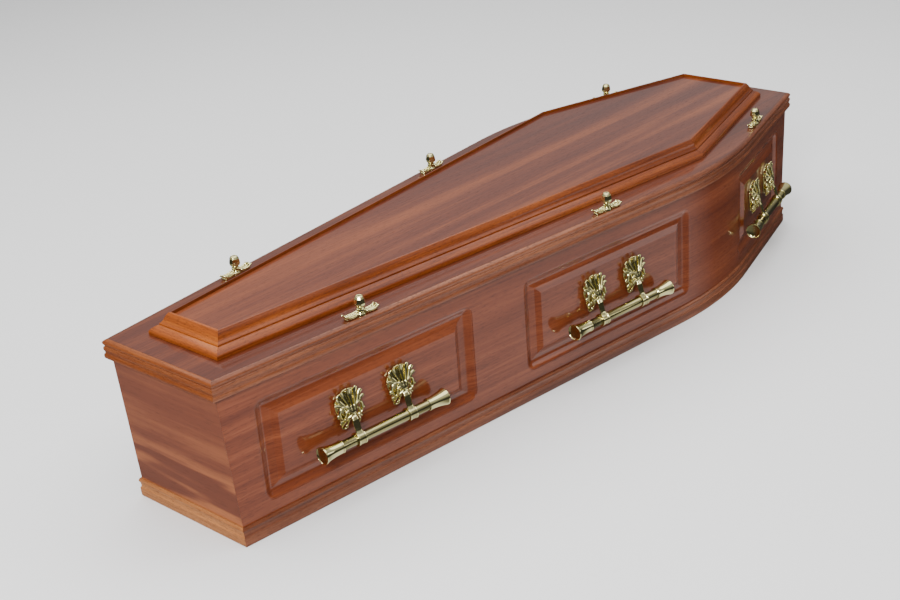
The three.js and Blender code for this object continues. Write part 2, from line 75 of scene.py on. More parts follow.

# %% [markdown]
# The plan of the coffin has two straight runs on each side, joined by a bend at the shoulder.
# The ends lean in towards the floor. These few sizes, in metres, place every moulding. A mitre
# stays open by JOINT, and a piece stays SEAT away from what it lies against.

# %% Plan of the body
BODY_LENGTH = 1.930
FOOT_WIDTH = 0.296
SHOULDER_WIDTH = 0.615
HEAD_WIDTH = 0.322
SHOULDER_FROM_FOOT = 1.401
BEND_RADIUS = 0.860
BEND_STEPS = 48
BODY_HEIGHT = 0.332
END_LEAN = 0.0205
WALL = 0.018
LID_THICKNESS = 0.018
LID_TOP = BODY_HEIGHT + LID_THICKNESS
JOINT = 0.0001
SEAT = 0.0003
MM = 0.001
X = Vector((1, 0, 0))
Z = Vector((0, 0, 1))
foot_corner = Vector((-BODY_LENGTH / 2, -FOOT_WIDTH / 2, 0))
shoulder = Vector((SHOULDER_FROM_FOOT - BODY_LENGTH / 2, -SHOULDER_WIDTH / 2, 0))
head_corner = Vector((BODY_LENGTH / 2, -HEAD_WIDTH / 2, 0))
foot_run = (shoulder - foot_corner).normalized()
head_run = (head_corner - shoulder).normalized()


def inward(run):
    """The level direction from a run of the near side towards the middle"""
    return Z.cross(run)


turn = foot_run.angle(head_run)
bend_reach = BEND_RADIUS * math.tan(turn / 2)
bend_start = shoulder - foot_run * bend_reach
bend_centre = bend_start + inward(foot_run) * BEND_RADIUS

# %% [markdown]
# Everything new is modelled as by hand, with operators. They act on whatever is selected, so each
# piece starts from a cleared selection.

# %% Choose what an operator acts on
def clear():
    if bpy.context.object and bpy.context.object.mode != "OBJECT":
        bpy.ops.object.mode_set(mode="OBJECT")
    bpy.ops.object.select_all(action="DESELECT")


def only(piece):
    """Makes one object the selected and active one"""
    clear()
    piece.select_set(True)
    bpy.context.view_layer.objects.active = piece


def name_it(name):
    piece = bpy.context.object
    piece.name = piece.data.name = name
    return piece


def edit(piece, mode="VERT"):
    only(piece)
    bpy.ops.object.mode_set(mode="EDIT")
    bpy.ops.mesh.select_mode(type=mode)


def choose(piece, test, mode):
    """Selects in edit mode the edges or the faces that pass a test"""
    bpy.ops.mesh.select_mode(type=mode)
    bpy.ops.mesh.select_all(action="DESELECT")
    bpy.ops.object.mode_set(mode="OBJECT")
    mesh = piece.data
    if mode == "EDGE":
        for e in mesh.edges:
            e.select = test(*(mesh.vertices[i].co for i in e.vertices))
    else:
        for f in mesh.polygons:
            f.select = test(f.center, f.normal)
    bpy.ops.object.mode_set(mode="EDIT")


def choose_all():
    bpy.ops.mesh.select_all(action="SELECT")


def merge_doubles():
    """Merges points that lie on one another, and leaves everything selected"""
    choose_all()
    bpy.ops.mesh.remove_doubles(threshold=MM / 100)
    choose_all()

# %% [markdown]
# A piece starts as a primitive that is merged to one point. The point is extruded from place to
# place into the outline of a section. A straight run is that outline extruded, a bend is the
# outline spun, and a mitre is a cut that is closed with a face.

# %% Draw, bend and cut
def point(name, place):
    """A new object of one selected vertex, in edit mode"""
    clear()
    bpy.ops.mesh.primitive_plane_add(size=MM)
    piece = name_it(name)
    bpy.ops.object.mode_set(mode="EDIT")
    bpy.ops.mesh.select_mode(type="VERT")
    bpy.ops.mesh.merge(type="CENTER")
    bpy.ops.transform.translate(value=place)
    return piece


def extrude(by):
    bpy.ops.mesh.extrude_region_move(TRANSFORM_OT_translate={"value": by})


def draw(name, places, closed=True):
    """Extrudes a point along a row of places, and back to the first"""
    piece = point(name, places[0])
    row = places + places[:1] if closed else places
    for here, there in zip(row, row[1:]):
        extrude(there - here)
    if closed:
        merge_doubles()
    else:
        choose_all()
    return piece


def bend(angle, centre=bend_centre):
    """Spins what is selected round an upright axis, counterclockwise from above"""
    bpy.ops.mesh.spin(steps=BEND_STEPS, angle=-angle, center=centre, axis=Z)


def cut(place, normal, keep_front):
    """Cuts the piece in edit mode by a plane, closes the cut and keeps one side"""
    choose_all()
    bpy.ops.mesh.bisect(plane_co=place, plane_no=normal, use_fill=True,
                        clear_inner=keep_front, clear_outer=not keep_front)

# %% [markdown]
# A finished mesh has no doubles, its faces look outwards, and its sharp edges stay sharp. Each
# piece has its place in its mesh, and a thing that repeats is modelled once and copied.

# %% Finish, place and copy
def turn_outwards():
    choose_all()
    bpy.ops.mesh.normals_make_consistent(inside=False)


def finish_mesh(piece, smooth_angle=30):
    """Closes doubles, turns the faces outwards and shades the piece"""
    edit(piece)
    merge_doubles()
    turn_outwards()
    bpy.ops.object.mode_set(mode="OBJECT")
    bpy.ops.object.shade_smooth_by_angle(angle=radians(smooth_angle))


def modify(piece, kind, **settings):
    """Adds a modifier and applies it at once"""
    only(piece)
    modifier = piece.modifiers.new(kind.lower(), kind)
    for key, value in settings.items():
        setattr(modifier, key, value)
    bpy.ops.object.modifier_apply(modifier=modifier.name)


def placed(piece, place):
    """Puts a piece where a matrix says, with the place in its mesh"""
    only(piece)
    piece.matrix_world = place
    bpy.ops.object.transform_apply()
    return piece


def copy_of(piece, name, place):
    """A copy of a piece with its own mesh; a mirrored one is turned outwards again"""
    copy = piece.copy()
    copy.data = piece.data.copy()
    copy.name = copy.data.name = name
    bpy.context.collection.objects.link(copy)
    placed(copy, place)
    if place.determinant() < 0:
        edit(copy)
        turn_outwards()
        clear()
    return copy


def take_away(cutter, piece):
    """Takes the shape of a cutter away from a piece, and the cutter too"""
    modify(piece, "BOOLEAN", operation="DIFFERENCE", object=cutter, solver="EXACT")
    bpy.data.objects.remove(cutter)


def join(name, parts):
    only(parts[0])
    for part in parts:
        part.select_set(True)
    bpy.ops.object.join()
    return name_it(name)


SIDES = ((1, "left"), (-1, "right"))
ACROSS = Matrix.Scale(-1, 4, (0, 1, 0))
made = []


def belongs(piece, slot, node):
    """Says what a finished piece rides on, what slot it has and which node it replaces"""
    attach(piece, "root")
    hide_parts(node)
    made.append((piece, slot))

# %% [markdown]
# A moulding's section is a row of points: how far each stands in from the outline of the body,
# and how high it is. Round stretches are bowed lines in small steps. A side piece is swept along
# the near side and mirrored, and an end piece runs straight across. All are cut by the mitre
# plane through the corner, which leans where the ends of the body lean.

# %% Moulding helpers
OVERRUN = 0.03
MOULDING_SLOT = "moulding_wood"
MOULDING_ANGLE = 32
ENDS = ((-1, "foot"), (1, "head"))


def lean(z, leans):
    """How far an end that leans has come in at a height"""
    return END_LEAN * max(0, BODY_HEIGHT - z) / BODY_HEIGHT if leans else 0


def corner(end, inset, z, leans):
    """The near corner of the plan at an end, -1 for the foot and 1 for the head"""
    run, anchor = (foot_run, foot_corner) if end < 0 else (head_run, head_corner)
    x = end * (BODY_LENGTH / 2 - lean(z, leans) - inset)
    start = anchor + inward(run) * inset
    return start + run * ((x - start.x) / run.x) + Z * z


def mitre(end, leans):
    """A point of the mitre plane at an end's near corner and its normal, towards the head"""
    low = corner(end, 0, 0, leans)
    normal = (corner(end, 0, BODY_HEIGHT, leans) - low).cross(corner(end, WALL, 0, leans) - low)
    return low, normal if normal.x > 0 else -normal


def section(start, out, up, rows):
    """A section from a start, in millimetres, with the signs of its two directions

    A row of two is a point. A row of six bows: two points, the bulge and the steps.
    """
    points = []
    for row in rows:
        x0, y0, x1, y1, bulge, steps = row if row[2:] else row + row + (0, 1)
        for i in range(steps):
            t = i / steps
            inset = start[0] + out * (x0 + (x1 - x0) * t) * MM - bulge * 4 * t * (1 - t) * MM
            points.append((inset, start[1] + up * (y0 + (y1 - y0) * t) * MM))
    return points


def trim(foot_plane, head_plane):
    """Cuts a piece in edit mode at both ends, a joint's gap away from each plane"""
    for end, (place, normal) in ((-1, foot_plane), (1, head_plane)):
        cut(place - Vector((end * JOINT, 0, 0)), normal, keep_front=end < 0)


def side_moulding(name, section, leans):
    """A moulding along the near side, mitred at the foot and the head"""
    start = foot_corner - foot_run * OVERRUN
    piece = draw(name, [start + inward(foot_run) * d + Z * h for d, h in section])
    extrude(bend_start - start)
    bend(turn)
    extrude(head_run * ((head_corner - shoulder).length - bend_reach + OVERRUN))
    trim(mitre(-1, leans), mitre(1, leans))
    return piece


def end_moulding(name, section, leans, end):
    """A moulding straight across an end, mitred at both corners"""
    half = BODY_LENGTH / 2
    piece = draw(name, [Vector((end * (half - lean(h, leans) - d), -FOOT_WIDTH, h))
                        for d, h in section])
    extrude(Vector((0, 2 * FOOT_WIDTH, 0)))
    place, normal = mitre(end, leans)
    for hand in (1, -1):
        gap = Vector((end * JOINT, 0, 0))
        flip = Vector((1, hand, 1))
        cut(place * flip + gap, normal * flip, keep_front=end > 0)
    return piece


def moulding_set(name, section, leans):
    """The four pieces of a moulding that runs right round the coffin"""
    left = side_moulding(name + "_left_moulding", section, leans)
    finish_mesh(left, MOULDING_ANGLE)
    right = copy_of(left, name + "_right_moulding", ACROSS)
    belongs(left, MOULDING_SLOT, name + "_left")
    belongs(right, MOULDING_SLOT, name + "_right")
    for end, word in ENDS:
        piece = end_moulding(f"{name}_{word}_moulding", section, leans, end)
        finish_mesh(piece, MOULDING_ANGLE)
        belongs(piece, MOULDING_SLOT, f"{name}_{word}")
    print(name, len(left.data.polygons), "faces a side")

# %% [markdown]
# The rim of the lid hangs over the joint. From the top it has a rounded nose, a fillet, a flat
# band and a bead. It could be a bevelled box, but the shadow lines between the members are what
# shows from a step away, so the whole section is drawn.

# %% Lid rim
RIM_HEIGHT = 38
rim_section = [(-SEAT, LID_TOP)] + section((0, LID_TOP), -1, -1, [
    (4, 0, 10, 5.5, 1.3, 8), (10, 5.5, 7.2, 11.5, 0.7, 6), (7.2, 11.5), (7.2, 13.2),
    (9, 14.6, 9.4, 21, 0.25, 3), (9.4, 21, 7.6, 26, -0.5, 5), (7.6, 27.5),
    (9.2, 29, 9, RIM_HEIGHT, 0.9, 6), (9, RIM_HEIGHT)]) + [(-SEAT, LID_TOP - RIM_HEIGHT * MM)]
moulding_set("lid_rim", rim_section, leans=False)

# %% [markdown]
# The plinth runs round the foot of the body: a flat fascia, a step back and a rounded top
# member. It follows the lean of the ends, which a straight extrusion gives for free when each
# point of the section is set in by the lean at its own height.

# %% Plinth
PLINTH_HEIGHT = 0.040
plinth_section = [(-SEAT, 0)] + section((0, 0), -1, 1, [
    (4.8, 0), (5.3, 1, 5.3, 19, 0.2, 3), (5.3, 19), (3.3, 21.3), (3.3, 22, 3.6, 29.5, -0.35, 4),
    (3.6, 30.5, 3.4, 39.3, 1.9, 8), (3, 39.9)]) + [(-SEAT, PLINTH_HEIGHT)]
moulding_set("plinth", plinth_section, leans=True)

# %% [markdown]
# The raised frame holds the top panel. Its section climbs in two members with a quirk between
# them, an ovolo and a broad ogee to the top, and a ledge inside carries the panel.

# %% Section of the raised frame
FRAME_INSET = 0.0555
FRAME_WIDTH = 0.035
FRAME_LEDGE = 0.008
PANEL_RISE = 0.034
PANEL_THICKNESS = 0.012
LEDGE_TOP = LID_TOP + PANEL_RISE - PANEL_THICKNESS - SEAT
frame_section = [(FRAME_INSET, LID_TOP + SEAT)] + section((FRAME_INSET, LID_TOP), 1, 1, [
    (0, 6.3, 13, 16.4, 2, 9), (13, 16.4), (16.6, 17.2), (16.4, 19.6),
    (17.2, 20.6, 23.4, 27.6, -0.7, 6), (23.4, 27.6, 30.5, 38.8, 0.9, 8),
    (30.5, 38.8, 32, 40, 0.3, 3), (32, 40), (35, 40)])
frame_inside = FRAME_INSET + FRAME_WIDTH
frame_section += [(frame_inside, LEDGE_TOP), (frame_inside + FRAME_LEDGE, LEDGE_TOP),
                  (frame_inside + FRAME_LEDGE, LID_TOP + SEAT)]
print("frame section", len(frame_section), "points")

# %% [markdown]
# The frame is six lengths, mitred at the corners and at the shoulders. Each is swept straight and
# cut at both ends by the planes that halve its corners, as a joiner would saw it.

# %% Raised frame
at_shoulder = (shoulder, (head_run - foot_run).cross(Z).normalized())
lengths = []
for word, run, start, finish, planes in (
        ("long", foot_run, foot_corner, shoulder, (mitre(-1, False), at_shoulder)),
        ("short", head_run, shoulder, head_corner, (at_shoulder, mitre(1, False)))):
    base = start - run * OVERRUN
    piece = draw(f"lid_frame_left_{word}_moulding",
                 [base + inward(run) * d + Z * h for d, h in frame_section])
    extrude(finish - start + run * 2 * OVERRUN)
    trim(*planes)
    finish_mesh(piece, MOULDING_ANGLE)
    lengths.append((word, piece))
for word, piece in lengths:
    belongs(piece, MOULDING_SLOT, f"lid_frame_left_{word}")
    other = copy_of(piece, f"lid_frame_right_{word}_moulding", ACROSS)
    belongs(other, MOULDING_SLOT, f"lid_frame_right_{word}")
    print("frame,", word, "length", len(piece.data.polygons), "faces")
for end, word in ENDS:
    piece = end_moulding(f"lid_frame_{word}_moulding", frame_section, False, end)
    finish_mesh(piece, MOULDING_ANGLE)
    belongs(piece, MOULDING_SLOT, f"lid_frame_{word}")

# %% [markdown]
# The lid board is a flat board cut to the plan. Its outline is drawn round all four corners, with
# both bends spun, then filled and given its thickness.

# %% Lid board
piece = point("lid_board_veneered", foot_corner + Z * LID_TOP)
extrude(bend_start - foot_corner)
bend(turn)
head_straight = (head_corner - shoulder).length - bend_reach
extrude(head_run * head_straight)
extrude(Vector((0, HEAD_WIDTH, 0)))
extrude(Vector((-head_run.x, head_run.y, 0)) * head_straight)
bend(turn, centre=bend_centre * Vector((1, -1, 1)))
extrude(Vector((-foot_run.x, foot_run.y, 0)) * (bend_start - foot_corner).length)
merge_doubles()
bpy.ops.mesh.edge_face_add()
extrude(Z * (SEAT - LID_THICKNESS))
finish_mesh(piece)
belongs(piece, "lid_wood", "lid_board")
print("lid board", [round(c, 3) for c in piece.dimensions])

# %% [markdown]
# Each side is one board with three panels on it. The two on the long run have the same length.
# The panels next to the shoulder reach a little into the bend, where it is still nearly straight.

# %% Plan of the panels
PANEL_LOW = 0.065
PANEL_HIGH = 0.277
PANEL_FROM_FOOT = 0.075
PANEL_FROM_HEAD = 0.079
BETWEEN_PANELS = 0.145
MIDDLE_INTO_BEND = 0.040
HEAD_INTO_BEND = 0.054
foot_straight = (shoulder - foot_corner).length - bend_reach
long_panel = (foot_straight + MIDDLE_INTO_BEND - PANEL_FROM_FOOT - BETWEEN_PANELS) / 2
short_panel = head_straight + HEAD_INTO_BEND - PANEL_FROM_HEAD
foot_centre = foot_corner + foot_run * (PANEL_FROM_FOOT + long_panel / 2)
head_centre = head_corner - head_run * (PANEL_FROM_HEAD + short_panel / 2)
panels = {
    "foot": (foot_run, foot_centre, long_panel),
    "middle": (foot_run, foot_centre + foot_run * (long_panel + BETWEEN_PANELS), long_panel),
    "head": (head_run, head_centre, short_panel),
}
print("panels", round(long_panel, 3), round(short_panel, 3))


def on_side(run, centre, hand=1):
    """The matrix that puts a thing on a side: its own -Y looks out of the board"""
    near = Matrix.LocRotScale(centre, Matrix((run, inward(run), Z)).transposed(), None)
    return near if hand > 0 else ACROSS @ near @ Matrix.Scale(-1, 4, X)

# %% [markdown]
# A panel is a ring. A small step and an ogee with rounded corners drop into the board, a long
# slope climbs a little, and a steep bevel climbs the rest to a flat field with sharp corners. A
# router cuts it, so here a cutter of that shape is made from two blocks.

# %% Cutter for a panel
GROOVE_DEPTH = 0.0085
GROOVE_COVE = 0.020
GROOVE_STEP = 0.0011
GROOVE_SLOPE = 0.029
SLOPE_RISE = 0.0022
BEVEL_WIDTH = 0.013
FIELD_RAISED = 0.006
GROOVE_RADIUS = 0.022
CORNER_STEPS = 10
COVE_STEPS = 10


def block(name, length, low, high, outer):
    """A cube primitive as long and high as asked, from outside the board to its face"""
    clear()
    bpy.ops.mesh.primitive_cube_add(size=1, location=(0, -outer / 2, (low + high) / 2),
                                    scale=(length, outer, high - low))
    piece = name_it(name)
    bpy.ops.object.transform_apply()
    edit(piece, "FACE")
    return piece


def groove_cutter(length):
    """A tray as long as the panel, less the block that leaves the field standing"""
    tray = block("tray", length, PANEL_LOW, PANEL_HIGH, WALL)
    choose(tray, lambda a, b: abs(a.y - b.y) > WALL / 2, "EDGE")
    bpy.ops.mesh.bevel(offset=GROOVE_RADIUS, segments=CORNER_STEPS, affect="EDGES")
    choose(tray, lambda c, n: n.y > 0.9, "FACE")
    bpy.ops.transform.translate(value=(0, GROOVE_STEP, 0))
    for i in range(COVE_STEPS):
        a, b = (j / COVE_STEPS * pi for j in (i, i + 1))
        bpy.ops.mesh.inset(thickness=GROOVE_COVE / COVE_STEPS,
                           depth=(GROOVE_DEPTH - GROOVE_STEP) * (cos(a) - cos(b)) / 2)
    inset = GROOVE_COVE + GROOVE_SLOPE
    high = PANEL_HIGH - PANEL_LOW
    middle = (PANEL_LOW + PANEL_HIGH) / 2
    size = (length - 2 * inset, high - 2 * inset + 2 * FIELD_RAISED)
    bevelled = (size[0] + 2 * BEVEL_WIDTH, size[1] + 2 * BEVEL_WIDTH)
    whole = (length - 2 * GROOVE_COVE, high - 2 * GROOVE_COVE)
    field = block("field", size[0], middle - size[1] / 2, middle + size[1] / 2, 2 * WALL)
    choose(field, lambda c, n: n.y > 0.9, "FACE")
    stages = ((GROOVE_DEPTH - SLOPE_RISE, size, bevelled), (SLOPE_RISE, bevelled, whole))
    for rise, before, after in stages:
        extrude(Vector((0, rise, 0)))
        bpy.ops.transform.resize(value=(after[0] / before[0], 1, after[1] / before[1]),
                                 center_override=(0, 0, middle))
    extrude(Vector((0, GROOVE_DEPTH, 0)))
    clear()
    take_away(field, tray)
    return tray

# %% [markdown]
# The board is swept like a moulding, the cutters are taken away from it, and its edges are eased
# a little, as sandpaper would. The far side is its mirror image.

# %% Route the side boards
EASING = 0.6 * MM
board_section = [(0, 0), (0, BODY_HEIGHT), (WALL, BODY_HEIGHT), (WALL, 0)]
board = side_moulding("side_left_veneered", board_section, True)
finish_mesh(board)
for run, centre, length in panels.values():
    take_away(placed(groove_cutter(length), on_side(run, centre)), board)
modify(board, "BEVEL", width=EASING, segments=2, limit_method="ANGLE", angle_limit=radians(28))
finish_mesh(board, 10)
other = copy_of(board, "side_right_veneered", ACROSS)
belongs(board, "side_wood", "side_left")
belongs(other, "side_wood", "side_right")
print("side board", len(board.data.polygons), "faces")

# %% [markdown]
# The bar of a handle is turned: a long round bar between two ferrules that flare like a
# trumpet. Half its outline is drawn from the axis out and spun once round the axis.

# %% Handle bars
BAR_RADIUS = 0.0105
BAR_LENGTH = 0.306
BAR_HEIGHT = 0.126
BAR_OUT = 0.030
FERRULE_LENGTH = 0.047
FERRULE_RADIUS = 0.0126
FLARE_RADIUS = 0.0181
FLARE_STEPS = 14
CONE_LENGTH = FERRULE_LENGTH - 0.0052
LIP = 0.0012
TURNED_STEPS = 48


def lathe(name, profile, axis):
    """Spins a row of (distance along the axis, radius) once round the axis"""
    side = X if axis.z else Z
    piece = draw(name, [axis * s + side * r for s, r in profile], closed=False)
    bpy.ops.mesh.spin(steps=TURNED_STEPS, angle=2 * pi, center=(0, 0, 0), axis=axis)
    finish_mesh(piece, 35)
    return piece


ferrule = [(0.003, 0), (0.003, 0.012), (0.0016, 0.0158), (0, 0.0170), (0.0002, 0.0178),
           (LIP, FLARE_RADIUS)]
for i in range(1, FLARE_STEPS + 1):
    t = i / FLARE_STEPS
    ferrule.append((LIP + t * CONE_LENGTH,
                    FERRULE_RADIUS + (FLARE_RADIUS - FERRULE_RADIUS) * (1 - t) ** 2.2))
for back_by, out_by in ((0.0036, 0.0006), (0.0012, 0.0006), (0.0002, -0.0004)):
    ferrule.append((FERRULE_LENGTH - back_by, FERRULE_RADIUS + out_by))
ferrule += [(FERRULE_LENGTH, BAR_RADIUS + 0.0002), (FERRULE_LENGTH + 0.0004, BAR_RADIUS)]
half = BAR_LENGTH / 2
bar_profile = [(s - half, r) for s, r in ferrule] + [(half - s, r) for s, r in reversed(ferrule)]
bar = lathe("bar", bar_profile, X)
placed(bar, Matrix.Translation((0, -BAR_OUT, BAR_HEIGHT)))
print("bar", [round(c, 4) for c in bar.dimensions])

# %% [markdown]
# A leaf plate is a casting: an acanthus leaf over a domed back, with crescents at its sides, a
# curled foot, and a strap that comes down from its boss and wraps the bar. A carver cuts such a
# leaf as ridges with hollows between them, so one helper sweeps a ridge along a path. Its section
# is extruded, turned and scaled from station to station, in millimetres on the dome.

# %% Carved ridges
RIDGE_SIDES = 12


def mm(x, y, z):
    return Vector((x, y, z)) * MM


def circle(sides):
    """The angles of the corners of a many-sided ring"""
    return [2 * pi * i / sides for i in range(sides)]


def ridge(path, surface):
    """A round-backed ridge through rows of (across, up, lift, half width, half thickness)"""
    stops = [(x, z, surface(x, z) + lift, w, t) for x, z, lift, w, t in path]
    headings = [math.atan2(b[1] - a[1], b[0] - a[0]) for a, b in zip(stops, stops[1:])]
    headings.append(headings[-1])
    x, z, out, w, t = stops[0]
    angle = headings[0]
    ring = []
    for a in circle(RIDGE_SIDES):
        side = w * cos(a)
        ring.append(mm(x - sin(angle) * side, -out - t * sin(a), z + cos(angle) * side))
    piece = draw("ridge", ring)
    bpy.ops.mesh.edge_face_add()
    for (x0, z0, o0, w0, t0), (x1, z1, o1, w1, t1), before, heading in zip(
            stops, stops[1:], headings, headings[1:]):
        extrude(mm(x1 - x0, o0 - o1, z1 - z0))
        centre = mm(x1, -o1, z1)
        swing = (heading - angle + pi) % (2 * pi) - pi
        middle = swing if heading is headings[-1] else swing / 2
        bpy.ops.transform.rotate(value=middle, orient_axis="Y", center_override=centre)
        angle += middle
        bpy.ops.transform.resize(value=(w1 / w0, t1 / t0, w1 / w0), center_override=centre)
    clear()
    return piece


def smooth_path(rows, steps=3):
    """Fills in a path with points on a smooth curve through its rows"""
    filled = []
    last = len(rows) - 1
    for i in range(last):
        p0, p1, p2, p3 = (rows[max(0, i - 1)], rows[i], rows[i + 1], rows[min(last, i + 2)])
        for j in range(steps):
            t = j / steps
            filled.append(tuple(
                0.5 * (2 * b + (c - a) * t + (2 * a - 5 * b + 4 * c - d) * t * t
                       + (3 * b - a - 3 * c + d) * t ** 3)
                for a, b, c, d in zip(p0, p1, p2, p3)))
    return filled + [rows[-1]]


def flipped(path, across, up):
    """A path as it is or mirrored, by the signs of its first two numbers"""
    return [(x * across, z * up, *rest) for x, z, *rest in path]

# %% [markdown]
# The leaf has a midrib and a fan of lobes, and below them crescents, a side lobe and the curled
# foot. A lobe widens, then rises and narrows, so its tip curls forward as on a real casting.

# %% Ridges of the leaf
DOME_HALF_WIDTH = 36
DOME_ABOVE = 52
DOME_BELOW = 36
DOME_EDGE = 4.2
DOME_RISE = 14.5
DOME_POWER = 1.25


def leaf_dome(x, z):
    """How far the back of the leaf stands out from the board"""
    reach = math.hypot(x / DOME_HALF_WIDTH, z / (DOME_ABOVE if z > 0 else DOME_BELOW))
    return DOME_EDGE + DOME_RISE * max(0, 1 - reach ** DOME_POWER)


MIDRIB = [(0, 3, 3, 2.6, 2.8), (0, 14, 2.6, 2.6, 3), (0, 27, 2.2, 3.2, 3.4), (0, 38, 2, 4.4, 3.8),
          (0, 45, 3.6, 5.4, 3.8), (0, 49.5, 6, 4.6, 3.2), (0, 51.6, 8, 2.4, 1.8)]
FAN = [
    [(1.5, 2, 2.6, 2, 2.6), (5.4, 14, 2.2, 2.3, 3), (9.8, 26, 1.8, 2.9, 3.4),
     (13.4, 36.5, 2, 4, 3.8), (16, 43, 3.6, 5, 3.8), (17.6, 46.8, 5.8, 4.2, 3),
     (18.2, 48.4, 7.6, 2.2, 1.8)],
    [(3, 2, 2.6, 2, 2.6), (9.2, 11.5, 2, 2.3, 3), (16.4, 20.5, 1.8, 3, 3.4),
     (22.8, 28.6, 2, 4, 3.8), (27, 33.4, 3.4, 4.8, 3.8), (29.4, 36, 5.4, 4, 3),
     (30.4, 37, 7, 2.2, 1.8)],
    [(18, 16.5, 2, 2.6, 3), (26, 20, 2.6, 4, 3.6), (31, 22, 3.8, 4, 3.4),
     (33.4, 22.4, 5.2, 3, 2.6), (34.2, 22, 6.4, 1.8, 1.6)],
]
CRESCENTS = [
    [(3, 9, 3, 1.8, 2.6), (10, 15, 2.8, 2.4, 3.2), (18, 17, 2.8, 3, 3.8), (24.6, 13, 3, 3.2, 4),
     (26.8, 5, 3.4, 3, 3.8), (25, -3, 3.6, 2.6, 3.4), (20.6, -9, 3.8, 2, 2.8)],
    [(3, 3, 3, 1.8, 2.6), (9, 7.6, 2.6, 2, 3), (14.6, 6.4, 2.8, 2.2, 3.2),
     (17, 0.6, 3.2, 2.2, 3.2), (15.6, -5.6, 3.6, 2, 3), (12, -9.6, 4, 1.6, 2.4)],
]
SIDE_LOBE = [(25, 3.4, 2.4, 3, 3.2), (29.4, 1.4, 3.8, 3.4, 3.2), (31.2, -1.2, 5.2, 2.6, 2.4),
             (31.8, -2.8, 6.2, 1.5, 1.4)]
CURLED_FOOT = [(4, -3, 2.4, 2.2, 2.4), (10, -7, 1.8, 2.8, 2.6), (16, -13, 1.8, 3.2, 2.8),
               (20.4, -19.6, 2, 3, 2.8), (21, -26, 2.6, 2.6, 2.6), (17, -30.6, 3.2, 2.3, 2.4),
               (12, -28.8, 3.8, 2.1, 2.3), (11.6, -24.4, 4.6, 1.9, 2.1), (14.8, -23, 5.4, 1.8, 2),
               (16.2, -25.4, 6.2, 1.5, 1.6)]
LOWER_LOBES = [
    [(8, -5.4, 1.8, 1.8, 2.4), (15, -8.6, 1.8, 2.4, 2.8), (21, -11.8, 2.2, 3, 3),
     (25, -15.6, 3.2, 2.8, 2.8), (25.8, -18.8, 4.6, 1.6, 1.6)],
    [(3, -4, 1.8, 1.6, 2), (6.6, -11, 1.2, 1.8, 2.2), (9.4, -18, 1.4, 2, 2.2),
     (9.4, -23, 2.4, 1.5, 1.6)],
]
parts = [ridge(smooth_path(MIDRIB), leaf_dome)]
for path in FAN + CRESCENTS + [SIDE_LOBE, CURLED_FOOT] + LOWER_LOBES:
    for hand in (1, -1):
        parts.append(ridge(flipped(smooth_path(path), hand, 1), leaf_dome))
print("ridges", len(parts))

# %% [markdown]
# The ridges lie on a domed back that closes the hollows between them. Its outline is drawn a
# little inside the tips, and the face is extruded out and scaled down in rings. The boss is a
# bead in the middle, and the strap swells out below it and runs down to the collar.

# %% Back of the leaf, boss and strap
BACK_OUTLINE = [(0, 47), (12, 45), (22, 39), (29, 31), (31, 22), (30, 13), (28.5, 6), (25, -2),
                (22, -8), (21.5, -15), (20, -22), (15, -27.5), (10, -24), (6, -14)]
loop = BACK_OUTLINE + [(0, -9)] + [(-x, z) for x, z in reversed(BACK_OUTLINE[1:])]
back_plate = draw("leaf_back", [mm(x, -0.4, z) for x, z in loop])
bpy.ops.mesh.edge_face_add()
extrude(mm(0, -3.6, 0))
before = 1
for scale in (0.92, 0.8, 0.65, 0.5, 0.35, 0.2):
    rise = DOME_RISE * (before ** DOME_POWER - scale ** DOME_POWER)
    extrude(mm(0, -rise, 0))
    bpy.ops.transform.resize(value=(scale / before, 1, scale / before), center_override=(0, 0, 0))
    before = scale
clear()
parts.append(back_plate)


def ball(name, radius, place, scale=(1, 1, 1)):
    """A sphere primitive, in millimetres"""
    clear()
    bpy.ops.mesh.primitive_uv_sphere_add(segments=24, ring_count=12, radius=radius * MM,
                                         location=mm(*place), scale=scale)
    bpy.ops.object.transform_apply()
    return name_it(name)


parts.append(ball("boss", 4.6, (0, -18.4, 1), (1, 1, 1.1)))
for hand in (1, -1):
    parts.append(ball("foot_eye", 2.3, (hand * 15.2, -12.6, -25.6)))
STRAP = [(14.5, -3, 4.4, 4), (19.6, -6, 6.4, 4.2), (23.4, -12, 7.6, 3.6), (25.8, -19, 7.8, 2.8),
         (27.8, -26, 7.6, 2.4), (30.4, -33, 7.4, 2.4), (34.4, -39, 7.4, 2.4), (38.6, -43, 7.4, 2.4)]
STRAP_SIDES = 20
STRAP_FLATNESS = 0.5
out, z, wide, thick = STRAP[0]
ring = []
for a in circle(STRAP_SIDES):
    side = math.copysign(abs(cos(a)) ** STRAP_FLATNESS, cos(a))
    ring.append(mm(wide * side, -out - thick * sin(a), z))
strap = draw("strap", ring)
bpy.ops.mesh.edge_face_add()
for (o0, z0, w0, t0), (o1, z1, w1, t1) in zip(STRAP, STRAP[1:]):
    extrude(mm(0, o0 - o1, z1 - z0))
    bpy.ops.transform.resize(value=(w1 / w0, t1 / t0, 1), center_override=mm(0, -o1, z1))
clear()
parts.append(strap)
print("parts of a leaf plate", len(parts))

# %% [markdown]
# A casting has no seams, and polishing rounds it. So the joined parts are remeshed as one skin of
# small even faces and smoothed. The collar is turned on its own and stays crisp, because a real
# one is machined to grip the bar.

# %% Cast the leaf plate
BOSS_HEIGHT = 0.176
LEAF_VOXEL = 0.85
COLLAR_BORE = 0.0107
COLLAR_RADIUS = 0.0139
COLLAR_HALF = 0.0095


def cast(name, parts, voxel, rounds):
    """Fuses overlapping parts to one skin and softens it"""
    for part in parts:
        edit(part)
        turn_outwards()
        clear()
    piece = join(name, parts)
    modify(piece, "REMESH", mode="VOXEL", voxel_size=voxel * MM, use_smooth_shade=True)
    modify(piece, "SMOOTH", factor=0.5, iterations=rounds)
    only(piece)
    bpy.ops.object.shade_smooth()
    return piece


